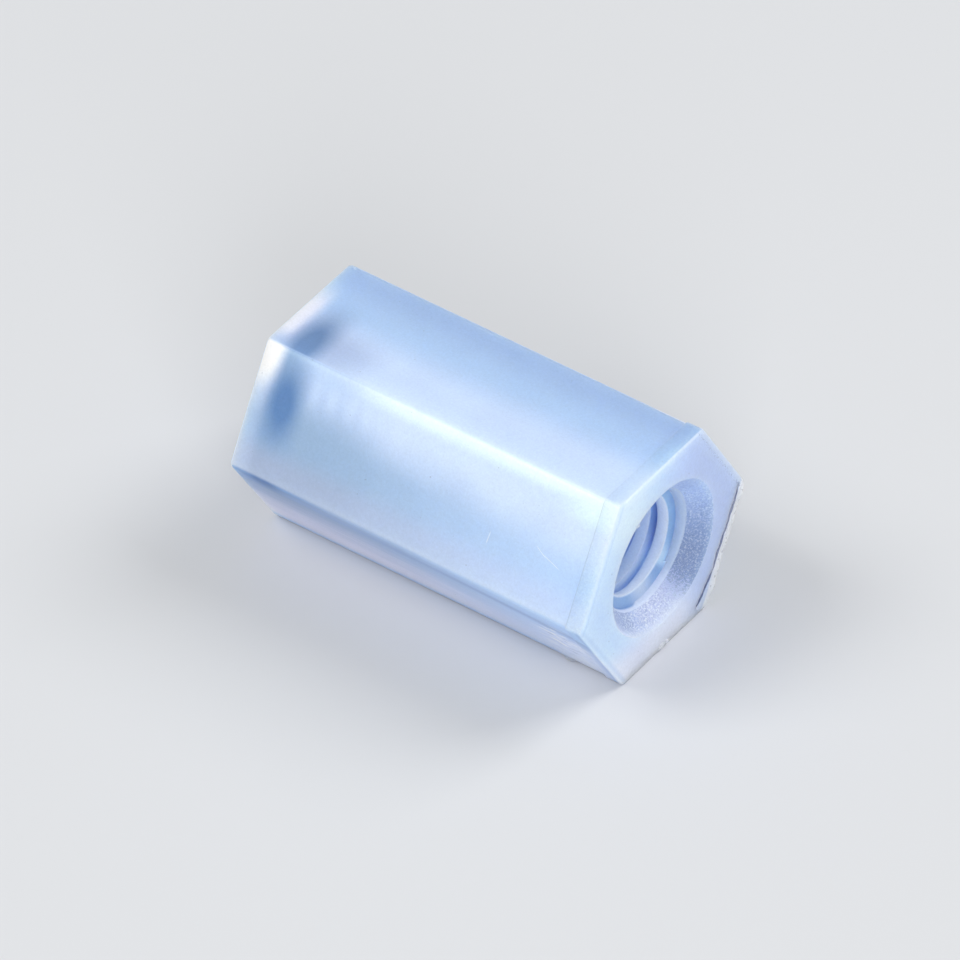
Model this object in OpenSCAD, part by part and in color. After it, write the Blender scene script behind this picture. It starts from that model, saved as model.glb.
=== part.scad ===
// Hex standoff: a short hexagonal spacer moulded in one piece, lying on one of its flats.
// It is threaded right through, with a short lead-in and a countersink at both ends. The bore is
// drawn plain, at the crests of its thread. X runs along the bore, and the origin is on the
// floor under the middle.

/* [Body] */
// Distance between two opposite flats
across_flats = 5.5; // [5:0.1:10]
// Overall length, end face to end face
body_length = 10; // [5:0.5:40]
// Radius of the six long edges
long_edge_radius = 0.24; // [0.05:0.01:0.4]
// Radius of the edges round the two end faces
end_edge_radius = 0.1; // [0.02:0.01:0.2]

/* [Mould line] */
// Length of the band at the +X end, which the other half of the mould forms
band_length = 0.46; // [0.3:0.02:1]
// Height of the band above the flats
band_step = 0.025; // [0.01:0.005:0.06]
// Radius of the band's six edges, sharper than the body's
band_edge_radius = 0.13; // [0.05:0.01:0.3]

/* [Bore] */
// Diameter over the crests of the thread
crest_diameter = 2.48; // [2.4:0.02:2.7]
// Diameter of the countersink at the end face
countersink_diameter = 3.94; // [3.7:0.02:4.3]
// Included angle of the countersink
countersink_angle = 85; // [75:1:120]
// Diameter at the foot of the countersink, where the plain lead-in starts
throat_diameter = 3.06; // [3.02:0.01:3.2]
// Diameter at the end of the plain lead-in
lead_in_diameter = 3.0; // [2.9:0.01:3.02]
// Depth of the end of the plain lead-in below the end face
lead_in_depth = 0.6; // [0.55:0.01:0.9]
// Depth of the first crest of the thread below the end face
first_crest_depth = 0.66; // [0.66:0.01:1.2]

/* [Hidden] */
$fn = 96;
sides = 6;
half_corner = 180 / sides;
overrun = 1;
band_flats = across_flats + 2 * band_step;
axis_height = band_flats / 2;
half_length = body_length / 2;
crest_radius = crest_diameter / 2;
lead_in_radius = lead_in_diameter / 2;
throat_radius = throat_diameter / 2;
countersink_radius = countersink_diameter / 2;
countersink_slope = tan(countersink_angle / 2);
countersink_depth = (countersink_radius - throat_radius) / countersink_slope;

// Hexagon with round corners and a flat facing down once it lies along X.
module round_hexagon(flats, radius) {
    corner_reach = (flats / 2 - radius) / cos(half_corner);
    turns = [for (side = [0 : sides - 1]) half_corner * (2 * side + 1)];
    polygon([
        for (turn = turns, lean = [-half_corner, half_corner])
            corner_reach * [cos(turn), sin(turn)] + radius * [cos(turn + lean), sin(turn + lean)]
    ]);
    for (turn = turns)
        translate(corner_reach * [cos(turn), sin(turn)])
            circle(r = radius);
}

// Rectangle as long as the standoff and as wide as its flats, with round corners.
module round_rectangle(flats) {
    inner_length = body_length - 2 * end_edge_radius;
    inner_width = flats - 2 * end_edge_radius;
    square([body_length, inner_width], center = true);
    square([inner_length, flats], center = true);
    for (x = [-1, 1], y = [-1, 1])
        translate([x * inner_length / 2, y * inner_width / 2])
            circle(r = end_edge_radius);
}

// Hexagonal bar from x = start to x = stop, its end edges rounded where it reaches an end face.
module hex_bar(flats, radius, start, stop) {
    intersection() {
        translate([start, 0, 0])
            rotate([0, 90, 0])
                linear_extrude(stop - start)
                    round_hexagon(flats, radius);
        intersection_for(pair_of_flats = [0 : sides / 2 - 1])
            rotate([2 * half_corner * pair_of_flats, 0, 0])
                slab(flats);
    }
}

// Solid between two opposite flats and the two end faces, wide enough to pass the corners.
module slab(flats) {
    rotate([90, 0, 0])
        linear_extrude(2 * flats, center = true)
            round_rectangle(flats);
}

// One half of the bore's outline as [radius, height] points, from the first crest to the overrun.
half_outline = [
    [crest_radius, half_length - first_crest_depth],
    [lead_in_radius, half_length - lead_in_depth],
    [throat_radius, half_length - countersink_depth],
    [countersink_radius + overrun * countersink_slope, half_length + overrun],
    [0, half_length + overrun]
];

// Bore with a lead-in and a countersink at each end, turned about X.
module bore() {
    mirrored = [for (place = [len(half_outline) - 1 : -1 : 0])
        [half_outline[place][0], -half_outline[place][1]]];
    rotate([0, 90, 0])
        rotate_extrude()
            polygon(concat(mirrored, half_outline));
}

// The whole standoff, in natural nylon.
module standoff_body() {
    color([0.77, 0.86, 0.95])
        translate([0, 0, axis_height])
            difference() {
                union() {
                    hex_bar(across_flats, long_edge_radius, -half_length, half_length - band_length / 2);
                    hex_bar(band_flats, band_edge_radius, half_length - band_length, half_length);
                }
                bore();
            }
}

standoff_body();
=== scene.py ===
"""Models a moulded nylon hex standoff: its outer form, countersinks, thread, flash and finish."""
import math

import bpy
from bpy.props import BoolProperty, FloatProperty, FloatVectorProperty, PointerProperty
from mathutils import Matrix, Vector, noise


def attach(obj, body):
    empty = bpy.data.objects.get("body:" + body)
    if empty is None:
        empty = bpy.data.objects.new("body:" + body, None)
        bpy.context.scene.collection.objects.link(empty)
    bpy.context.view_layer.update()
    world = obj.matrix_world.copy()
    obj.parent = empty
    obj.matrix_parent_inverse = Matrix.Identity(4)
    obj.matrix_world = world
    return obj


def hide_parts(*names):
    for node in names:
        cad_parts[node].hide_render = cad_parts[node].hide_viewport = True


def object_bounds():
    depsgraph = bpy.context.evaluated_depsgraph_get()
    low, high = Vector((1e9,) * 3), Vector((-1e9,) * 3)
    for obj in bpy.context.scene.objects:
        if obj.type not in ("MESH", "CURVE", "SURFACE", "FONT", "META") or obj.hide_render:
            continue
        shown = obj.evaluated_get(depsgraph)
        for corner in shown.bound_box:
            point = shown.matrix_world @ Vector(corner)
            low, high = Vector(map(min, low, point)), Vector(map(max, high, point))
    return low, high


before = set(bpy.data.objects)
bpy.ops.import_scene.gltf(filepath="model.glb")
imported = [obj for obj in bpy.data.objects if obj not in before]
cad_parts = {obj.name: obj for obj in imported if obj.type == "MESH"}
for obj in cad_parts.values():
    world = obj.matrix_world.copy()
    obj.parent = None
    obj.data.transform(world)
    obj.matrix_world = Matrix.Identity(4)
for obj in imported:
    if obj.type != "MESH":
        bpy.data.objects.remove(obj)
CAD_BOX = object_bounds()

bl_info = {
    "name": "Hex Standoff",
    "version": (1, 0, 0),
    "blender": (4, 5, 0),
    "location": "View3D > Sidebar > Standoff",
    "description": "Models a moulded hex standoff with its thread, flash and finish",
    "category": "Mesh",
}

BODY = "root"
NODE = "standoff_body"
MM = 0.001
SIDES = 6
HALF_CORNER = math.pi / SIDES
TOP_ANGLE = math.radians(90)
CORNER_ANGLE = math.radians(120)
FRONT_ANGLE = math.radians(150)
LOWER_ANGLE = math.radians(210)
MOULD_LINE_STEP = 0.025 * MM
LOW, HIGH = (Vector(corner) for corner in CAD_BOX)
END_BAND_FLATS = HIGH.z - LOW.z
LONG_EDGE_SEGMENTS = 8
END_EDGE_SEGMENTS = 6
BORE_STEPS = 288
DEGREES_A_STEP = 3
PLATE_STEPS = 90


class StandoffSizes(bpy.types.PropertyGroup):
    """Sizes of the standoff, as the drawing gives them."""

    body_length: FloatProperty(
        name="Length", description="From end face to end face", default=HIGH.x - LOW.x, unit="LENGTH"
    )
    across_flats: FloatProperty(
        name="Across flats", description="Between two opposite flats of the body",
        default=END_BAND_FLATS - 2 * MOULD_LINE_STEP, unit="LENGTH",
    )
    band_step: FloatProperty(
        name="Band step", description="Height of the end band above the flats",
        default=MOULD_LINE_STEP, unit="LENGTH",
    )
    band_length: FloatProperty(
        name="Band length", description="Length of the end band, up to the mould line",
        default=0.46 * MM, unit="LENGTH",
    )
    long_edge_radius: FloatProperty(
        name="Long edge radius", description="Rounding of the body's six long edges",
        default=0.24 * MM, unit="LENGTH",
    )
    band_edge_radius: FloatProperty(
        name="Band edge radius", description="Rounding of the band's six edges",
        default=0.13 * MM, unit="LENGTH",
    )
    end_edge_radius: FloatProperty(
        name="End edge radius", description="Rounding round the two end faces",
        default=0.06 * MM, unit="LENGTH",
    )
    crest_diameter: FloatProperty(
        name="Crest diameter", description="Bore over the crests of the thread",
        default=2.48 * MM, unit="LENGTH",
    )
    root_diameter: FloatProperty(
        name="Root diameter", description="Bore over the roots of the thread",
        default=3.0 * MM, unit="LENGTH",
    )
    pitch: FloatProperty(
        name="Pitch", description="From one turn of the thread to the next", default=0.5 * MM, unit="LENGTH"
    )
    groove_opening: FloatProperty(
        name="Groove opening", description="Width of the thread's groove at the crests",
        default=0.23 * MM, unit="LENGTH", precision=6,
    )
    groove_wall: FloatProperty(
        name="Groove wall", description="Lean of the wall that faces the near end",
        default=0.07 * MM, unit="LENGTH", precision=6,
    )
    groove_floor: FloatProperty(
        name="Groove floor", description="Width of the thread's groove at the roots",
        default=0.07 * MM, unit="LENGTH", precision=6,
    )
    thread_start_depth: FloatProperty(
        name="Thread start depth", description="From the near end face to the groove's wall at its start",
        default=0.72 * MM, unit="LENGTH", precision=6,
    )
    thread_start_angle: FloatProperty(
        name="Thread start angle", description="Place of the groove's start round the bore, from +Y to +Z",
        default=math.radians(-50), subtype="ANGLE",
    )
    thread_start_slant: FloatProperty(
        name="Thread start slant", description="Lean of the groove's blunt start round the bore",
        default=math.radians(-10), subtype="ANGLE",
    )
    left_hand: BoolProperty(
        name="Left hand", description="Run the thread the way it is seen, or the common way when off",
        default=True,
    )
    countersink_diameter: FloatProperty(
        name="Countersink diameter", description="Across the countersink at the end face",
        default=3.94 * MM, unit="LENGTH",
    )
    countersink_angle: FloatProperty(
        name="Countersink angle", description="Included angle of the countersink",
        default=math.radians(85), subtype="ANGLE",
    )
    throat_diameter: FloatProperty(
        name="Throat diameter", description="Across the foot of the countersink",
        default=3.06 * MM, unit="LENGTH",
    )
    lead_in_depth: FloatProperty(
        name="Lead-in depth", description="From the end face to the end of the plain lead-in",
        default=0.6 * MM, unit="LENGTH", precision=6,
    )
    first_crest_depth: FloatProperty(
        name="First crest depth", description="From the end face to the first crest of the thread",
        default=0.73 * MM, unit="LENGTH", precision=6,
    )
    countersink_grain: FloatProperty(
        name="Countersink grain", description="Height of the eroded grain on the countersink",
        default=0.012 * MM, unit="LENGTH", precision=6,
    )


class StandoffFinish(bpy.types.PropertyGroup):
    """Finish of the nylon."""

    tint: FloatVectorProperty(
        name="Tint", description="Dye that multiplies the natural colour", default=(1, 1, 1),
        min=0, max=1, subtype="COLOR",
    )
    bore_glow: FloatVectorProperty(
        name="Bore glow", description="Light that comes through the wall into the bore",
        default=(0.022, 0.032, 0.06), min=0, max=1, subtype="COLOR",
    )
    roughness: FloatProperty(
        name="Roughness", description="Roughness of a plain flat", default=0.5, min=0, max=1,
        subtype="FACTOR",
    )
    scatter_depth: FloatProperty(
        name="Scatter depth", description="How far light spreads inside the nylon",
        default=1.0 * MM, unit="LENGTH", precision=6,
    )
    ior: FloatProperty(name="IOR", description="Index of refraction of nylon", default=1.53)


class StandoffStage(bpy.types.PropertyGroup):
    """Camera, light and floor."""

    azimuth: FloatProperty(
        name="Azimuth", description="Turn of the view from straight along +Y",
        default=math.radians(37.1), subtype="ANGLE",
    )
    elevation: FloatProperty(
        name="Elevation", description="Height of the view above the floor",
        default=math.radians(42.32), subtype="ANGLE",
    )
    roll: FloatProperty(
        name="Roll", description="Lean of the camera", default=math.radians(-1.3), subtype="ANGLE"
    )
    distance: FloatProperty(
        name="Distance", description="From the camera to the middle of the bore",
        default=254.03 * MM, unit="LENGTH",
    )
    lens: FloatProperty(name="Lens", description="Focal length in millimetres", default=414.97)
    aim_right: FloatProperty(
        name="Aim right", description="Sideways offset of the camera", default=-0.143 * MM, unit="LENGTH"
    )
    aim_up: FloatProperty(
        name="Aim up", description="Upward offset of the camera", default=-0.164 * MM, unit="LENGTH"
    )
    floor_colour: FloatVectorProperty(
        name="Floor", description="Colour of the floor", default=(0.66, 0.67, 0.69), subtype="COLOR"
    )
    sky_strength: FloatProperty(
        name="Sky strength", description="Strength of the even light from all round", default=0.41
    )
    key_power: FloatProperty(
        name="Key power", description="Power of the soft light over the front, in watts", default=0.25
    )
    back_power: FloatProperty(
        name="Back power", description="Power of the soft light from behind, in watts", default=0.27
    )
    fill_power: FloatProperty(
        name="Fill power", description="Power of the soft light at the near end, in watts", default=0.37
    )


def deselect():
    """Leaves object mode with nothing selected."""
    if bpy.context.object and bpy.context.object.mode != "OBJECT":
        bpy.ops.object.mode_set(mode="OBJECT")
    bpy.ops.object.select_all(action="DESELECT")


def only(piece):
    """Makes piece the one selected and active object."""
    deselect()
    piece.select_set(True)
    bpy.context.view_layer.objects.active = piece


def pick(piece, kind, test):
    """Selects, in edit mode, the vertices, edges or faces of piece that pass test."""
    bpy.ops.object.mode_set(mode="EDIT")
    bpy.ops.mesh.select_mode(type=kind)
    bpy.ops.mesh.select_all(action="DESELECT")
    bpy.ops.object.mode_set(mode="OBJECT")
    mesh = piece.data
    items = {"VERT": mesh.vertices, "EDGE": mesh.edges, "FACE": mesh.polygons}[kind]
    for item in items:
        item.select = bool(test(item))
    bpy.ops.object.mode_set(mode="EDIT")


def apply(piece, kind, **settings):
    """Adds one modifier to piece and applies it."""
    only(piece)
    modifier = piece.modifiers.new(kind.title(), kind)
    for name, value in settings.items():
        setattr(modifier, name, value)
    bpy.ops.object.modifier_apply(modifier=modifier.name)


def combine(piece, other, operation):
    """Cuts other out of piece, or joins it to piece, and removes other."""
    apply(piece, "BOOLEAN", operation=operation, solver="EXACT", object=other)
    bpy.data.objects.remove(other)


def ends(mesh, edge):
    """The two end points of an edge."""
    return (mesh.vertices[index].co for index in edge.vertices)


def hex_bar(flats, radius, start, stop, rounded_end, end_radius):
    """Hexagonal bar along X about the origin, with one end face's edges rounded."""
    deselect()
    bpy.ops.mesh.primitive_cylinder_add(
        vertices=SIDES, radius=flats / 2 / math.cos(HALF_CORNER), depth=stop - start,
        location=((start + stop) / 2, 0, 0), rotation=(0, math.pi / 2, 0),
    )
    bar = bpy.context.object
    bpy.ops.object.transform_apply(location=True, rotation=True, scale=True)
    mesh = bar.data

    def is_long(edge):
        first, last = ends(mesh, edge)
        return abs(first.x - last.x) > (stop - start) / 2

    pick(bar, "EDGE", is_long)
    bpy.ops.mesh.bevel(offset=radius * math.tan(HALF_CORNER), segments=LONG_EDGE_SEGMENTS, affect="EDGES")
    bpy.ops.object.mode_set(mode="OBJECT")

    def is_rim(edge):
        first, last = ends(mesh, edge)
        return max(abs(first.x - rounded_end), abs(last.x - rounded_end)) < end_radius / 10

    pick(bar, "EDGE", is_rim)
    bpy.ops.mesh.bevel(offset=end_radius, segments=END_EDGE_SEGMENTS, affect="EDGES")
    bpy.ops.object.mode_set(mode="OBJECT")
    return bar


def trace(points, name):
    """Open line through points, drawn by extruding one corner."""
    deselect()
    bpy.ops.mesh.primitive_plane_add(size=0.1, location=(0, 0, 0))
    line = bpy.context.object
    line.name = name
    bpy.ops.object.mode_set(mode="EDIT")
    bpy.ops.mesh.select_mode(type="VERT")
    bpy.ops.mesh.select_all(action="SELECT")
    bpy.ops.mesh.merge(type="CENTER")
    bpy.ops.transform.translate(value=points[0])
    for before, after in zip(points, points[1:]):
        bpy.ops.mesh.extrude_region_move(
            TRANSFORM_OT_translate={"value": tuple(b - a for a, b in zip(before, after))}
        )
    bpy.ops.object.mode_set(mode="OBJECT")
    return line


class Bore:
    """Sizes of the bore in millimetres, worked out once from the properties."""

    def __init__(self, sizes):
        self.crest = sizes.crest_diameter / 2 / MM
        self.root = sizes.root_diameter / 2 / MM
        self.pitch = sizes.pitch / MM
        self.mouth = sizes.countersink_diameter / 2 / MM
        self.throat = sizes.throat_diameter / 2 / MM
        self.slope = math.tan(sizes.countersink_angle / 2)
        self.half = sizes.body_length / 2 / MM
        self.depth = (self.mouth - self.throat) / self.slope
        self.lead_in = sizes.lead_in_depth / MM
        self.first_crest = sizes.first_crest_depth / MM


def steps(first, last, count):
    """Points on the line from first to last, without first."""
    return [
        tuple(a + (b - a) * step / count for a, b in zip(first, last)) for step in range(1, count + 1)
    ]


def bore_cutter(bore, grain):
    """The plain bore with a countersink at each end, turned from its outline."""
    overrun = 0.12
    flank_rings = 4
    lead_in_rings = 2
    cone_rings = 26
    cone_top = (bore.half + overrun, 0, bore.mouth + overrun * bore.slope)
    cone_foot = (bore.half - bore.depth, 0, bore.throat)
    outline = [(bore.half - bore.first_crest, 0, bore.crest)]
    outline += steps(outline[-1], (bore.half - bore.lead_in, 0, bore.root), flank_rings)
    outline += steps(outline[-1], cone_foot, lead_in_rings)
    outline += steps(outline[-1], cone_top, cone_rings)
    outline.append((bore.half + overrun, 0, 0))
    outline = [(-x, y, z) for x, y, z in reversed(outline)] + outline
    cutter = trace(outline, "bore_cutter")
    bpy.ops.object.mode_set(mode="EDIT")
    bpy.ops.mesh.select_all(action="SELECT")
    bpy.ops.mesh.spin(steps=BORE_STEPS, angle=2 * math.pi, center=(0, 0, 0), axis=(1, 0, 0))
    bpy.ops.mesh.select_all(action="SELECT")
    bpy.ops.mesh.remove_doubles(threshold=1e-4)
    bpy.ops.mesh.normals_make_consistent(inside=False)
    bpy.ops.object.mode_set(mode="OBJECT")

    group = cutter.vertex_groups.new(name="countersink")
    fade = 0.06
    rim_share = 0.25
    for vertex in cutter.data.vertices:
        depth = bore.half - abs(vertex.co.x)
        radius = math.hypot(vertex.co.y, vertex.co.z)
        if radius < bore.crest / 2 or depth > bore.depth - 0.01:
            continue
        weight = min(1, (bore.depth - depth) / fade) * min(1, max(rim_share, depth / fade))
        group.add([vertex.index], max(weight, 0), "REPLACE")
    texture = bpy.data.textures.new("countersink_grain", "CLOUDS")
    texture.noise_scale = 0.055
    texture.noise_depth = 1
    apply(
        cutter, "DISPLACE", texture=texture, strength=2 * grain, mid_level=0.5,
        vertex_group=group.name, texture_coords="LOCAL",
    )
    return cutter


def coil_cutter(bore, sizes, section, sweep, name):
    """Helical cutter that starts at the thread's start and sweeps round the bore.

    section lists (offset, radius) corners, where offset runs towards the near end from the
    edge of the first crest. The first and last corners lie inside the bore.
    """
    turn = math.copysign(2 * math.pi, 1 if sizes.left_hand else -1)
    start_x = bore.half - sizes.thread_start_depth / MM
    depth = bore.root - bore.crest

    def corner(offset, radius):
        twist = sizes.thread_start_slant * (bore.root - radius) / depth
        angle = sizes.thread_start_angle + twist
        x = start_x + offset - bore.pitch * twist / turn
        return x, radius * math.cos(angle), radius * math.sin(angle)

    points = [corner(*place) for place in section]
    coil = trace(points, name)
    pick(coil, "VERT", lambda vertex: is_end(vertex, points))
    bpy.ops.mesh.edge_face_add()
    bpy.ops.object.mode_set(mode="OBJECT")
    turns = max(1, round(abs(sweep / turn)))
    part = sweep / turns * math.copysign(1, turn)
    count = round(abs(math.degrees(part)) / DEGREES_A_STEP)
    apply(
        coil, "SCREW", axis="X", angle=part, steps=count, render_steps=count, iterations=turns,
        screw_offset=-bore.pitch * part / turn, use_merge_vertices=False,
    )
    bpy.ops.object.mode_set(mode="EDIT")
    bpy.ops.mesh.select_mode(type="EDGE")
    bpy.ops.mesh.select_all(action="DESELECT")
    bpy.ops.mesh.select_non_manifold()
    bpy.ops.mesh.fill_holes(sides=0)
    bpy.ops.mesh.select_all(action="SELECT")
    bpy.ops.mesh.normals_make_consistent(inside=False)
    bpy.ops.object.mode_set(mode="OBJECT")
    return coil


def is_end(vertex, points):
    """Whether vertex is the first or the last of points."""
    return min((vertex.co - Vector(points[place])).length for place in (0, -1)) < 1e-5


def thread_cutters(bore, sizes):
    """The groove of the thread, the relief before it and the run-in behind its start.

    They reach inwards past the crests by a clearance, and the relief stops shy of the roots.
    """
    opening = sizes.groove_opening / MM
    wall = sizes.groove_wall / MM
    floor = sizes.groove_floor / MM
    clearance = 0.14
    shy = 0.004
    relief_sweep = math.radians(115)
    run_in_sweep = math.radians(-130)
    run_in_lean = 0.12
    inner = bore.crest - clearance
    over = (bore.crest - inner) / (bore.root - bore.crest)
    lean = opening - wall - floor
    turns = math.ceil((2 * bore.half + bore.pitch) / bore.pitch)
    groove = [
        (-wall * over, inner), (wall, bore.root), (wall + floor, bore.root),
        (opening + lean * over, inner),
    ]
    wide = opening + bore.pitch / 2
    relief = [(wall, inner), (wall, bore.root - shy), (wide, bore.root - shy), (wide, inner)]
    run_in = [
        (-run_in_lean * over, inner), (run_in_lean, bore.root), (opening, bore.root), (opening, inner),
    ]
    return (
        coil_cutter(bore, sizes, groove, turns * 2 * math.pi, "thread_groove"),
        coil_cutter(bore, sizes, relief, relief_sweep, "thread_relief"),
        coil_cutter(bore, sizes, run_in, run_in_sweep, "thread_run_in"),
    )


def lump(name, place, size, lean=(0, 0, 0)):
    """Small rough lump of nylon."""
    deselect()
    bpy.ops.mesh.primitive_ico_sphere_add(
        subdivisions=3, radius=1, location=place, rotation=lean, scale=size
    )
    piece = bpy.context.object
    piece.name = name
    bpy.ops.object.transform_apply(location=True, rotation=True, scale=True)
    texture = bpy.data.textures.new(name, "CLOUDS")
    texture.noise_scale = max(size)
    apply(piece, "DISPLACE", texture=texture, strength=min(size), mid_level=0.5, texture_coords="LOCAL")
    return piece


def ragged_plate(name, inner, outer, length, bottom, top):
    """Plate along the lower side towards +Y, from one end's corner to the other.

    inner and outer give the distance of its two edges from the bore's axis at a place along it.
    """
    turn = -HALF_CORNER

    def corner(along, distance):
        across = length / 2 - along
        y = distance * math.cos(turn) - across * math.sin(turn)
        return bottom, y, distance * math.sin(turn) + across * math.cos(turn)

    places = [length * step / PLATE_STEPS for step in range(PLATE_STEPS + 1)]
    points = [corner(along, inner(along)) for along in places]
    points += [corner(along, outer(along)) for along in reversed(places)]
    plate = trace(points, name)
    pick(plate, "VERT", lambda vertex: is_end(vertex, points))
    bpy.ops.mesh.edge_face_add()
    bpy.ops.mesh.select_all(action="SELECT")
    bpy.ops.mesh.edge_face_add()
    bpy.ops.mesh.extrude_region_move(TRANSFORM_OT_translate={"value": (top - bottom, 0, 0)})
    bpy.ops.mesh.select_all(action="SELECT")
    bpy.ops.mesh.normals_make_consistent(inside=False)
    bpy.ops.object.mode_set(mode="OBJECT")
    return plate


def rough(along, seed):
    """Irregular wave from about -1 to 1 along an edge."""
    return 2 * noise.fractal((along * 2.5, seed, 0), 0.9, 2.2, 4)


def bulge(along, middle, reach):
    """Bell-shaped rise along an edge, 1 at middle."""
    return math.exp(-((along - middle) / reach) ** 2)


def flash_pieces(bore, flat_side):
    """What the mould left: the near end's lip and its rut, lumps, a chip and two burrs.

    flat_side is the distance from the bore's axis to a flat of the body.
    """
    corner = flat_side / math.cos(HALF_CORNER)
    face = bore.half
    lip_overlap = 0.05
    lip_width = 0.08
    lip_height = 0.022
    lip_depth = 0.24
    rut_inset = 0.17
    rut_half_width = 0.055
    rut_depth = 0.07

    def lip(along):
        swell = 0.1 * bulge(along, 2.62, 0.2) + 0.03 * bulge(along, 0.35, 0.08)
        ending = min(1, along / 0.15, (corner - along) / 0.2)
        width = lip_width + swell + 0.03 * rough(along, 4)
        return flat_side - lip_overlap + max(0, ending) * width

    def rut(along):
        drop = 0.05 * math.exp(-along / 0.2)
        turn_in = 0.22 * max(0, (along - 1.9) / 1.2) ** 2
        return flat_side - rut_inset - drop - turn_in + 0.02 * rough(along, 9)

    def lip_foot(along):
        return rut(along) + 0.06 + 0.02 * rough(along, 7)

    def half_width(along):
        ending = min(1, (along - 0.05) * 5, (corner - along) * 5)
        return max(0.004, rut_half_width * ending + 0.018 * rough(along, 2))

    def rut_inner(along):
        return rut(along) - half_width(along)

    def rut_outer(along):
        return rut(along) + half_width(along)

    added = [
        ragged_plate("flash_lip", lip_foot, lip, corner, face - lip_depth, face + lip_height),
        lump("edge_lump", (face - 0.02, -0.09, -flat_side + 0.08), (0.06, 0.16, 0.09)),
        lump("edge_crumb", (face, 0.1, -flat_side + 0.09), (0.05, 0.06, 0.06)),
        lump("corner_burr", (-face + 0.2, corner / 2 - 0.09, flat_side - 0.05), (0.07, 0.06, 0.08)),
        lump("edge_burr", (3.5, -corner / 2 - 0.02, -flat_side + 0.06), (0.16, 0.06, 0.02), (0.6, 0.1, 0)),
    ]
    cut = ragged_plate("flash_rut", rut_inner, rut_outer, corner, face - rut_depth, face + 0.2)
    chip = lump("rim_chip", (face, -0.97, 1.71), (0.035, 0.06, 0.04))
    return added, cut, chip


class Value:
    """A number in a material that adds a Math node for each Python operator."""

    def __init__(self, surface, socket):
        self.surface = surface
        self.socket = socket

    def __add__(self, other):
        return self.surface.math("ADD", self, other)

    __radd__ = __add__

    def __sub__(self, other):
        return self.surface.math("SUBTRACT", self, other)

    def __rsub__(self, other):
        return self.surface.math("SUBTRACT", other, self)

    def __mul__(self, other):
        return self.surface.math("MULTIPLY", self, other)

    __rmul__ = __mul__

    def __truediv__(self, other):
        return self.surface.math("DIVIDE", self, other)

    def __abs__(self):
        return self.surface.math("ABSOLUTE", self)

    def ramp(self, start, stop):
        """Rises smoothly from 0 at start to 1 at stop, or falls when stop is the smaller."""
        return self.surface.add(
            "MapRange", {"interpolation_type": "SMOOTHSTEP"},
            {"Value": self, "From Min": start, "From Max": stop},
        )

    def near(self, middle, reach):
        """1 at middle, falling smoothly to 0 at reach on either side."""
        return abs(self - middle).ramp(reach, 0)


class Surface:
    """One material's nodes, in millimetres about the bore.

    x runs along the bore towards the near end, depth down from the nearer end face, and
    radius out from the bore's axis.
    """

    def __init__(self, name):
        self.material = bpy.data.materials.new(name)
        self.material.use_nodes = True
        self.nodes = self.material.node_tree.nodes
        self.links = self.material.node_tree.links
        self.shader = self.nodes["Principled BSDF"]
        place = self.add("TexCoord", {}, {}, "Object")
        self.place = self.add("VectorMath", {"operation": "SCALE"}, {0: place, "Scale": 1 / MM})
        self.x = self.add("SeparateXYZ", {}, {0: self.place}, "X")
        self.y = self.add("SeparateXYZ", {}, {0: self.place}, "Y")
        self.z = self.add("SeparateXYZ", {}, {0: self.place}, "Z") - (LOW.z + HIGH.z) / 2 / MM
        self.radius = self.math("SQRT", self.y * self.y + self.z * self.z)
        self.depth = HIGH.x / MM - abs(self.x)

    def math(self, operation, *values):
        """Adds a Math node of any operation."""
        return self.add("Math", {"operation": operation}, dict(enumerate(values)))

    def add(self, kind, settings, inputs, output=0):
        """Adds a node, sets it, fills its inputs with values or links, and gives an output."""
        node = self.nodes.new("ShaderNode" + kind)
        for name, value in settings.items():
            setattr(node, name, value)
        for name, value in inputs.items():
            self.feed(node.inputs[name], value)
        return Value(self, node.outputs[output])

    def feed(self, socket, value):
        """Links a Value to a socket, or sets the socket to a plain number or colour."""
        if isinstance(value, Value):
            self.links.new(value.socket, socket)
        elif socket.type == "RGBA" and len(value) == 3:
            socket.default_value = (*value, 1)
        else:
            socket.default_value = value

    def blend(self, first, second, amount, kind="MIX"):
        """Mixes two colours."""
        return self.add(
            "Mix", {"data_type": "RGBA", "blend_type": kind}, {0: amount, 6: first, 7: second}, 2
        )

    def noise(self, size, detail=2, stretch=(1, 1, 1), rough=0.5, seed=0):
        """Noise of about the given grain size in millimetres, from 0 to 1 about 0.5."""
        place = self.add("VectorMath", {"operation": "MULTIPLY"}, {0: self.place, 1: stretch})
        place = self.add("VectorMath", {"operation": "ADD"}, {0: place, 1: (seed, 2 * seed, 3 * seed)})
        return self.add(
            "TexNoise", {}, {"Vector": place, "Scale": 1 / size, "Detail": detail, "Roughness": rough}
        )


def side(surface, angle):
    """Distance from the bore's axis towards the side that faces angle."""
    return surface.y * math.cos(angle) + surface.z * math.sin(angle)


def flat(surface, angle):
    """How far a point lies in one pair of opposite flats, and its place across them."""
    height = side(surface, angle)
    across = surface.z * math.cos(angle) - surface.y * math.sin(angle)
    fade = math.radians(1)
    inside = (abs(height) / surface.radius).ramp(
        math.cos(HALF_CORNER + fade), math.cos(HALF_CORNER - fade)
    )
    return inside, across * surface.math("SIGN", height)


def scratch(surface, across, start, stop, width):
    """A scratch on a flat from start to stop, each an (x, across) pair."""
    length = math.dist(start, stop)
    run = ((stop[0] - start[0]) / length, (stop[1] - start[1]) / length)
    from_start = surface.x - start[0]
    up = across - start[1]
    along = from_start * run[0] + up * run[1]
    off = up * run[0] - from_start * run[1]
    fade = length / 4
    return off.near(0, width) * along.ramp(0, fade) * along.ramp(length, length - fade)


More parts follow.
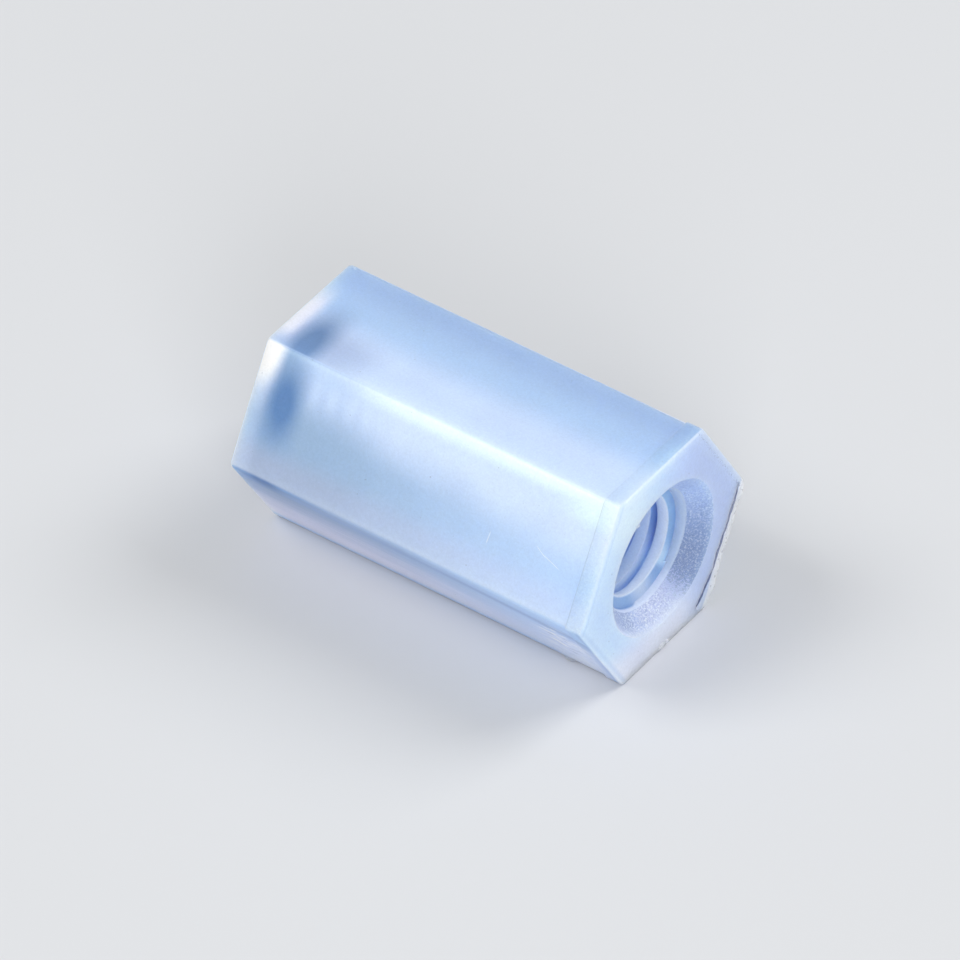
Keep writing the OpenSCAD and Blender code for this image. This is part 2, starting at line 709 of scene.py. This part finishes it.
def front_marks(surface, across):
    """Three fine scratches on the front flat, not on the one opposite."""
    marks = scratch(surface, across, (2.0, 0.25), (1.97, 0.62), 0.018)
    marks = marks + scratch(surface, across, (3.4, 0.22), (4.0, 0.42), 0.016)
    marks = marks + scratch(surface, across, (3.2, 0.1), (3.55, 0.3), 0.014)
    return marks * surface.y.ramp(0, -1)


def far_ring_shade(surface, across, middle, reach):
    """Painted shade where the far countersink shows darkly through a flat."""
    shade = 1.2 * surface.x.near(-4.1, 0.72) * across.near(middle, reach)
    return surface.math("MINIMUM", shade, 1)


def top_colour(surface, across):
    """The top flat: bluer along one edge, milkier along the other."""
    x = surface.x
    deep_blue = (0.33, 0.46, 0.71)
    sky_blue = (0.42, 0.58, 0.82)
    milk = (0.57, 0.69, 0.9)
    grey_blue = (0.42, 0.52, 0.73)
    pale_lavender = (0.74, 0.77, 0.92)
    ring_shade_blue = (0.15, 0.26, 0.47)
    colour = surface.blend(deep_blue, sky_blue, across.ramp(-1.6, -0.2))
    colour = surface.blend(colour, milk, across.ramp(-0.35, 0.75))
    colour = surface.blend(colour, grey_blue, x.ramp(-2, -3.4) * across.ramp(0, 1))
    far_end = x.ramp(-4.4, -4.75) * across.ramp(-0.9, 0.2) * across.ramp(1.5, 0.9)
    colour = surface.blend(colour, pale_lavender, far_end)
    # Painted shade of the far countersink seen through the wall.
    return surface.blend(colour, ring_shade_blue, far_ring_shade(surface, across, 1.25, 1.9))


def front_colour(surface, across):
    """The front flat: a painted highlight along its upper edge, then blue, then lavender, with painted glare
    and painted shade at the far end.
    """
    x = surface.x
    edge_highlight = (0.76, 0.9, 1)
    ripple_white = (0.7, 0.82, 1)
    pale_lavender = (0.6, 0.69, 0.87)
    glare_white = (1, 1, 1)
    ring_shade_blue = (0.125, 0.26, 0.51)
    towards_near = x.ramp(-4.4, 4.4)
    blue = surface.blend((0.33, 0.47, 0.66), (0.51, 0.67, 0.9), towards_near)
    lavender = surface.blend((0.39, 0.47, 0.63), (0.56, 0.68, 0.9), towards_near)
    colour = surface.blend(blue, lavender, across.ramp(0.5, 1.25))

    wave = across + 0.5 * (surface.noise(1.6, 1) - 0.5) - 0.06 * x
    milk = surface.blend((0.53, 0.66, 0.87), (0.65, 0.76, 0.95), x.ramp(-3.4, -1))
    colour = surface.blend(colour, milk, wave.ramp(0.3, -0.95) * x.ramp(-4.4, -3.2))
    # Painted light of the thread showing through the wall, in soft ripples.
    turns = surface.math("SINE", x * (2 * math.pi / 0.5)) * 0.5 + 0.5
    ripple = turns * x.ramp(-3.9, -3.5) * x.ramp(-1.2, -2.2) * across.near(-0.85, 0.5)
    colour = surface.blend(colour, ripple_white, 0.3 * ripple)
    # Painted highlight along the upper edge, with a painted glow near the near end.
    highlight_streak = across.ramp(-1.1, -1.45) * x.ramp(-2.8, -0.9)
    glow = x.ramp(3.2, 4.4) * across.ramp(-0.7, -1.15)
    colour = surface.blend(colour, edge_highlight, surface.math("MAXIMUM", highlight_streak, glow))

    far_end = x.ramp(-4.35, -4.7) * (0.3 + 0.55 * across.ramp(0.3, -0.7))
    colour = surface.blend(colour, pale_lavender, far_end)
    # Painted glare at the far end, by the upper edge.
    colour = surface.blend(colour, glare_white, x.ramp(-4.25, -4.7) * across.ramp(-0.3, -1.2))
    # Painted shade of the far countersink seen through the wall.
    return surface.blend(colour, ring_shade_blue, far_ring_shade(surface, across, -0.3, 1.5))


def lower_colour(surface, across):
    """The lower flat: blue under its upper edge, then pinkish grey, with a soft dark line."""
    x = surface.x
    edge_blue = (0.42, 0.58, 0.92)
    shadow_blue = (0.2, 0.33, 0.58)
    pale_blue = (0.65, 0.73, 0.95)
    line_blue = (0.25, 0.38, 0.66)
    ring_shade_blue = (0.1, 0.2, 0.43)
    blue = surface.blend((0.27, 0.38, 0.6), (0.44, 0.61, 0.9), x.ramp(-3.5, 4.4))
    pink = surface.blend((0.66, 0.68, 0.86), (0.58, 0.68, 0.92), x.ramp(-2.5, 4.4))
    streaks = surface.noise(0.22, 3, (0.08, 1, 1), seed=4) - 0.5
    colour = surface.blend(blue, pink, (across + streaks).ramp(-1.1, 0.9))
    # Painted reflection: blue along the edge by the floor.
    colour = surface.blend(colour, edge_blue, across.ramp(1.05, 1.45))
    colour = surface.blend(colour, shadow_blue, across.ramp(-0.9, -1.4) * x.ramp(-2.2, -3.6))
    colour = surface.blend(colour, pale_blue, x.ramp(2.7, 4) * across.ramp(-0.8, -0.1))

    below = across + 1.08 - 0.046 * x - 0.004 * x * x
    inward = 4.9 - x
    bend = below * inward / (below + inward + 0.05)
    colour = surface.blend(colour, line_blue, 0.7 * bend.near(0, 0.26) * x.ramp(4.95, 4.85))
    colour = scuffs_and_glints(surface, colour, across)
    # Painted shade of the far countersink seen through the wall.
    return surface.blend(colour, ring_shade_blue, far_ring_shade(surface, across, -1.6, 0.8))


def scuffs_and_glints(surface, colour, across):
    """Painted white glints and dark scuff marks near the near end of the lower flat."""
    scuff_glint_noise = surface.noise(0.16, 3, (0.4, 1, 1), seed=13)
    place = surface.x.near(3.95, 1.05) * across.near(0, 1.5) * surface.y.ramp(0, -0.5)
    # Painted glints on the scuffs.
    colour = surface.blend(colour, (1, 1, 1), 0.8 * place * scuff_glint_noise.ramp(0.52, 0.68))
    return surface.blend(colour, (0.25, 0.32, 0.48), 0.5 * place * scuff_glint_noise.ramp(0.46, 0.34))


def flats_colour(surface):
    """The body's six flats, where each flat shares its pattern with the one opposite."""
    tops, top_across = flat(surface, TOP_ANGLE)
    fronts, front_across = flat(surface, FRONT_ANGLE)
    lower_across = flat(surface, LOWER_ANGLE)[1]
    colour = surface.blend(lower_colour(surface, lower_across), top_colour(surface, top_across), tops)
    return surface.blend(colour, front_colour(surface, front_across), fronts)


def banded(surface, colour, band, fronts):
    """The end band, a little greyer and pebbled, with painted glints on its front flats, and the mould line
    that it stops at.
    """
    colour = surface.blend(colour, (0.9, 0.92, 0.93), band, "MULTIPLY")
    # Painted glints on the band's front flats.
    band_glints = surface.noise(0.05, 1, seed=5).ramp(0.35, 0.75)
    colour = surface.blend(colour, (0.85, 0.95, 1), 0.15 * band * fronts * band_glints)
    strength = 0.35 + surface.noise(0.3, 2, seed=2)
    mould_line = mould_line_mask(surface) * strength * fronts
    return surface.blend(colour, (0.3, 0.4, 0.5), 0.45 * mould_line)


def mould_line_mask(surface):
    """The mould line round the body, at the foot of the end band."""
    return surface.x.near(4.545, 0.02)


def end_colour(surface):
    """The end faces: bluish on one side, pinkish below, and dirty by the near one's flash."""
    y, z = surface.y, surface.z
    pale_blue = (0.55, 0.7, 1)
    dull_blue = (0.46, 0.56, 0.81)
    pink = (0.7, 0.75, 0.93)
    bright_blue = (0.68, 0.81, 1)
    flash_white = (0.74, 0.79, 0.93)
    edge_blue = (0.33, 0.49, 0.82)
    pit_blue = (0.2, 0.25, 0.42)
    crumb_dark = (0.15, 0.18, 0.3)
    colour = surface.blend(pale_blue, dull_blue, y.ramp(-0.6, 1.8))
    colour = surface.blend(colour, pink, z.ramp(-1.2, -2.3) * y.ramp(1.7, 0.4))
    colour = surface.blend(colour, bright_blue, y.near(-1.3, 1.3) * z.near(2.1, 1.3))
    near_end = surface.x.ramp(0, 1)
    flash = side(surface, -HALF_CORNER) * near_end
    colour = surface.blend(colour, flash_white, 0.8 * flash.ramp(2.56, 2.64))
    for angle, pull in ((math.pi + HALF_CORNER, 0.45), (math.pi - HALF_CORNER, 0.35)):
        edge = side(surface, angle).near(2.7, 0.13)
        colour = surface.blend(colour, edge_blue, pull * edge)
    pits = surface.noise(0.05, 1, seed=6).ramp(0.55, 0.62)
    pitted = 0.6 * near_end * pits * side(surface, HALF_CORNER).near(2.6, 0.07)
    colour = surface.blend(colour, pit_blue, pitted)
    crumbs = surface.noise(0.12, 3, seed=12).ramp(0.58, 0.66)
    return surface.blend(colour, crumb_dark, 0.5 * crumbs * flash.ramp(2.6, 2.66))


def countersink_colour(surface, turn):
    """The countersinks, grainy with painted glints and painted shade on the grain, and darkest low on the
    side towards +Y.
    """
    pale_blue = (0.45, 0.59, 0.88)
    dark_blue = (0.22, 0.31, 0.53)
    dull_lavender = (0.38, 0.47, 0.7)
    lavender = (0.56, 0.62, 0.84)
    glint = (0.9, 0.97, 1)
    grain_shade = (0.2, 0.29, 0.5)
    rim_white = (0.66, 0.74, 0.94)
    grain = surface.noise(0.042, 2, rough=0.6, seed=8) - 0.5
    ragged = turn + 1.6 * grain
    dark = ragged.ramp(-1.2, -0.95) * turn.ramp(0.6, -0.8)
    colour = surface.blend(pale_blue, dark_blue, dark)
    colour = surface.blend(colour, dull_lavender, turn.ramp(-1.9, -2.2) * turn.ramp(-3, -2.7))
    colour = surface.blend(colour, lavender, ragged.ramp(-0.95, -1.25) * ragged.ramp(-2.3, -1.8))
    # Painted glints and painted shade on the grain.
    glints = 0.2 + 0.5 * turn.ramp(1, -0.6) - 0.4 * dark
    colour = surface.blend(colour, glint, glints * grain.ramp(-0.02, 0.2))
    colour = surface.blend(colour, grain_shade, 0.35 * grain.ramp(0.02, -0.2))
    rim = surface.radius.ramp(1.78, 1.98) * turn.ramp(-1, -1.4) * turn.ramp(-3.1, -2.6)
    return surface.blend(colour, rim_white, 0.8 * rim)


def thread_colour(surface, turn):
    """The lead-in's ledge, the thread's pale crests and the bluer walls between them, their contrast painted
    light and shade.
    """
    radius, depth = surface.radius, surface.depth
    flank = surface.blend((0.26, 0.42, 0.7), (0.5, 0.62, 0.82), turn.near(-1.55, 0.45))
    wall = surface.blend((0.26, 0.45, 0.74), (0.5, 0.7, 0.92), turn.near(-0.85, 0.4))
    inner = surface.blend((0.64, 0.77, 0.95), (0.2, 0.35, 0.68), turn.ramp(-1.1, -0.3) * turn.ramp(3, 1.4))
    wall = surface.blend(wall, inner, depth.ramp(0.95, 1.2))
    wall = surface.blend(wall, flank, turn.ramp(-0.9, -1.1) * depth.ramp(0.92, 0.82))
    crest = surface.blend((0.65, 0.75, 0.92), (0.58, 0.72, 0.92), depth.ramp(0.9, 1.4))
    # Painted light and shade: pale crests against bluer walls.
    colour = surface.blend(wall, crest, radius.ramp(1.3, 1.25))

    ledge_turn = turn.ramp(-0.8, -1.25) * turn.ramp(-3.1, -2.6)
    ledge_colour = surface.blend((0.5, 0.61, 0.78), (0.66, 0.74, 0.92), ledge_turn)
    lowered = depth + 0.24 * turn.ramp(-1.5, -1.9) * turn.ramp(-3.1, -2.7)
    ledge = radius.ramp(1.475, 1.49) * lowered.ramp(0.82, 0.76)
    return surface.blend(colour, ledge_colour, ledge)


def bore_colour(surface):
    """Countersink, lead-in and thread, by the turn about the bore from +Y to +Z."""
    turn = surface.math("ARCTAN2", surface.z, surface.y)
    countersink = countersink_colour(surface, turn)
    return surface.blend(thread_colour(surface, turn), countersink, in_countersink(surface))


def in_bore(surface):
    """Everything inside the countersinks' rims."""
    return surface.radius.ramp(1.985, 1.965)


def in_countersink(surface):
    """Outside the countersinks' feet."""
    return surface.radius.ramp(1.54, 1.56)


def flash_rut_shade(surface):
    """Painted shade in the rut behind the near end's flash."""
    beside = side(surface, -HALF_CORNER)
    rut = beside.ramp(2.28, 2.34) * beside.ramp(2.72, 2.68) * surface.x.ramp(0, 1)
    rut = rut * side(surface, HALF_CORNER).ramp(2.64, 2.6) * surface.z.ramp(-2.64, -2.6)
    return rut * surface.depth.ramp(0.16, 0.14) * surface.depth.ramp(0.005, 0.015)


def mottled(surface, colour, mottle):
    """Clouds, mottling and a few dark specks all over."""
    cloud = surface.noise(1.1, 2, seed=9) - 0.5
    fine = surface.noise(0.045, 1, seed=15) - 0.5
    tone = 1 + 0.1 * cloud + 0.12 * mottle + 0.14 * fine
    grey = surface.add("CombineColor", {}, {0: tone, 1: tone, 2: tone})
    colour = surface.blend(colour, grey, 1, "MULTIPLY")
    speck = surface.noise(0.07, 0, seed=21).ramp(0.87, 0.88)
    return surface.blend(colour, (0.25, 0.3, 0.4), 0.5 * speck)


def nylon_relief(surface, band, fronts, marks, mottle):
    """Bump of the countersinks' grain, the pebbled band, drag lines, scratches and mould line."""
    cone = in_bore(surface) * in_countersink(surface)
    grain = surface.noise(0.045, 2, rough=0.6) - 0.5
    pebble = surface.noise(0.07, 1, seed=5) - 0.5
    lines = surface.noise(0.09, 2, (0.05, 1, 1), seed=3) - 0.5
    height = 0.009 * cone * grain + 0.008 * band * pebble + 0.0016 * mottle + 0.003 * lines
    height = height - 0.008 * marks - 0.01 * fronts * mould_line_mask(surface)
    return surface.add("Bump", {}, {"Strength": 1, "Distance": MM, "Height": height})


def nylon_roughness(surface, plain, marks, mottle):
    """Glossier in the countersinks, duller at scratches, a worn long edge and the near end's edge."""
    cone = in_bore(surface) * in_countersink(surface)
    worn = side(surface, CORNER_ANGLE).ramp(2.9, 3.05) * surface.x.ramp(2, -2)
    soft_edge = side(surface, FRONT_ANGLE).ramp(2.6, 2.68) * surface.depth.ramp(0.12, 0.06)
    return plain + 0.1 * mottle - 0.2 * cone + 0.15 * marks + 0.2 * worn + 0.25 * soft_edge


def nylon(finish):
    """Milky natural nylon, bluer in places and whiter in others, with painted highlights, glints, shade and
    glow.
    """
    surface = Surface("natural_nylon")
    fronts, front_across = flat(surface, FRONT_ANGLE)
    band = surface.x.ramp(4.54, 4.56)
    marks = front_marks(surface, front_across) * fronts
    mottle = surface.noise(0.09, 2, seed=11) - 0.5

    colour = banded(surface, flats_colour(surface), band, fronts)
    colour = surface.blend(colour, end_colour(surface), surface.depth.ramp(0.06, 0.02))
    colour = surface.blend(colour, bore_colour(surface), in_bore(surface))
    # Painted shade in the rut behind the flash.
    colour = surface.blend(colour, (0.1, 0.13, 0.26), 0.9 * flash_rut_shade(surface))
    colour = surface.blend(colour, (1, 1, 1), 0.5 * marks)
    colour = mottled(surface, colour, mottle)
    colour = surface.blend(colour, tuple(finish.tint), 1, "MULTIPLY")

    # Painted glow: emission that stands in for light coming through the wall into the bore.
    through_wall = surface.radius.ramp(1.52, 1.48) * surface.depth.ramp(0.6, 0.9)
    glow = surface.blend((0, 0, 0), tuple(finish.bore_glow), through_wall)
    sockets = surface.shader.inputs
    surface.feed(sockets["Base Color"], colour)
    surface.feed(sockets["Roughness"], nylon_roughness(surface, finish.roughness, marks, mottle))
    surface.feed(sockets["Normal"], nylon_relief(surface, band, fronts, marks, mottle))
    surface.feed(sockets["Emission Color"], glow)
    sockets["Emission Strength"].default_value = 1
    sockets["Subsurface Weight"].default_value = 1
    sockets["Subsurface Radius"].default_value = (1, 1, 1)
    sockets["Subsurface Scale"].default_value = finish.scatter_depth
    sockets["IOR"].default_value = finish.ior
    return surface.material


def plain_floor(colour):
    """Matt paint for the floor."""
    material = bpy.data.materials.new("floor")
    material.use_nodes = True
    shader = material.node_tree.nodes["Principled BSDF"]
    shader.inputs["Base Color"].default_value = (*colour, 1)
    shader.inputs["Roughness"].default_value = 0.7
    return material


class STANDOFF_OT_body(bpy.types.Operator):
    """Model the moulded body with its mould line, countersinks, thread and flash"""

    bl_idname = "standoff.body"
    bl_label = "Standoff Body"

    def execute(self, context):
        sizes = context.scene.standoff_sizes
        bore = Bore(sizes)
        flats = sizes.across_flats / MM
        step = sizes.band_step / MM
        band = sizes.band_length / MM
        end_radius = sizes.end_edge_radius / MM
        body = hex_bar(
            flats, sizes.long_edge_radius / MM, -bore.half, bore.half - band / 2, -bore.half, end_radius
        )
        body.name = "nylon_body"
        end_band = hex_bar(
            flats + 2 * step, sizes.band_edge_radius / MM, bore.half - band, bore.half, bore.half, end_radius
        )
        combine(body, end_band, "UNION")
        added, rut, chip = flash_pieces(bore, sizes.across_flats / 2 / MM)
        for piece in added:
            combine(body, piece, "UNION")
        combine(body, rut, "DIFFERENCE")
        combine(body, bore_cutter(bore, sizes.countersink_grain / MM), "DIFFERENCE")
        for cutter in thread_cutters(bore, sizes):
            combine(body, cutter, "DIFFERENCE")
        combine(body, chip, "UNION")
        put_in_frame(body, (sizes.across_flats + 2 * sizes.band_step) / 2)
        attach(body, BODY)
        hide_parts(NODE)
        body.data.materials.clear()
        body.data.materials.append(nylon(context.scene.standoff_finish))
        return {"FINISHED"}


def put_in_frame(piece, axis_height):
    """Brings a piece from millimetres about the bore to metres in the frame, and smooths it."""
    only(piece)
    bpy.ops.transform.resize(value=(MM, MM, MM), center_override=(0, 0, 0))
    bpy.ops.transform.translate(value=((LOW.x + HIGH.x) / 2, (LOW.y + HIGH.y) / 2, LOW.z + axis_height))
    bpy.ops.object.transform_apply(location=True, rotation=True, scale=True)
    bpy.ops.object.shade_smooth_by_angle(angle=math.radians(32))


def softbox(name, middle, direction, distance, size, power, colour):
    """Square soft light that faces the middle of the bore."""
    spot = middle + Vector(direction).normalized() * distance
    bpy.ops.object.light_add(type="AREA", location=spot)
    lamp = bpy.context.object
    lamp.name = name
    lamp.rotation_euler = (middle - spot).to_track_quat("-Z", "Y").to_euler()
    lamp.data.shape = "SQUARE"
    lamp.data.size = size
    lamp.data.energy = power
    lamp.data.color = colour


def studio_sky(strength):
    """Even light from all round."""
    world = bpy.data.worlds.new("studio")
    world.use_nodes = True
    background = world.node_tree.nodes["Background"]
    background.inputs["Color"].default_value = (0.97, 0.985, 1, 1)
    background.inputs["Strength"].default_value = strength
    return world


def aimed_camera(stage, middle):
    """Camera at the stage's angle, distance and offset from middle."""
    ahead = Vector(
        (
            -math.sin(stage.azimuth) * math.cos(stage.elevation),
            math.cos(stage.azimuth) * math.cos(stage.elevation),
            -math.sin(stage.elevation),
        )
    )
    level_right = ahead.cross(Vector((0, 0, 1))).normalized()
    level_up = level_right.cross(ahead)
    right = math.cos(stage.roll) * level_right + math.sin(stage.roll) * level_up
    up = math.cos(stage.roll) * level_up - math.sin(stage.roll) * level_right
    place = middle - ahead * stage.distance + right * stage.aim_right + up * stage.aim_up
    bpy.ops.object.camera_add()
    camera = bpy.context.object
    camera.matrix_world = Matrix.Translation(place) @ Matrix((right, up, -ahead)).transposed().to_4x4()
    camera.data.lens = stage.lens
    camera.data.sensor_width = 36
    camera.data.clip_start = 0.01
    camera.data.clip_end = 10
    return camera


class STANDOFF_OT_stage(bpy.types.Operator):
    """Set the camera, the floor and the lights"""

    bl_idname = "standoff.stage"
    bl_label = "Stage"

    def execute(self, context):
        stage = context.scene.standoff_stage
        middle = Vector((0, 0, (LOW.z + HIGH.z) / 2))
        deselect()
        context.scene.camera = aimed_camera(stage, middle)

        bpy.ops.mesh.primitive_plane_add(size=1.2, location=(0, 0, LOW.z))
        floor = bpy.context.object
        floor.name = "floor"
        floor.data.materials.append(plain_floor(stage.floor_colour))
        bpy.ops.object.transform_apply(location=True, rotation=True, scale=True)

        context.scene.world = studio_sky(stage.sky_strength)
        softbox("key_softbox", middle, (-0.45, -0.45, 0.77), 0.25, 0.12, stage.key_power, (1, 1, 0.98))
        softbox("back_softbox", middle, (0.36, 0.59, 0.72), 0.25, 0.12, stage.back_power, (1, 1, 1))
        softbox("fill_softbox", middle, (0.62, -0.66, 0.42), 0.3, 0.14, stage.fill_power, (1, 0.99, 0.98))
        return {"FINISHED"}


class STANDOFF_PT_panel(bpy.types.Panel):
    """Sidebar panel with the sizes, the finish, the stage and the operators"""

    bl_label = "Hex Standoff"
    bl_idname = "STANDOFF_PT_panel"
    bl_space_type = "VIEW_3D"
    bl_region_type = "UI"
    bl_category = "Standoff"

    def draw(self, context):
        scene = context.scene
        for group in (scene.standoff_sizes, scene.standoff_finish, scene.standoff_stage):
            box = self.layout.box()
            for name in group.__annotations__:
                box.prop(group, name)
        for operator in OPERATORS:
            self.layout.operator(operator.bl_idname)


OPERATORS = (STANDOFF_OT_body, STANDOFF_OT_stage)
CLASSES = (StandoffSizes, StandoffFinish, StandoffStage, *OPERATORS, STANDOFF_PT_panel)


def register():
    for cls in CLASSES:
        bpy.utils.register_class(cls)
    bpy.types.Scene.standoff_sizes = PointerProperty(type=StandoffSizes)
    bpy.types.Scene.standoff_finish = PointerProperty(type=StandoffFinish)
    bpy.types.Scene.standoff_stage = PointerProperty(type=StandoffStage)


def unregister():
    del bpy.types.Scene.standoff_stage
    del bpy.types.Scene.standoff_finish
    del bpy.types.Scene.standoff_sizes
    for cls in reversed(CLASSES):
        bpy.utils.unregister_class(cls)


def main():
    """Builds everything in order."""
    register()
    bpy.context.scene.view_settings.view_transform = "Standard"
    bpy.ops.standoff.body()
    bpy.ops.standoff.stage()


if __name__ == "__main__":
    main()
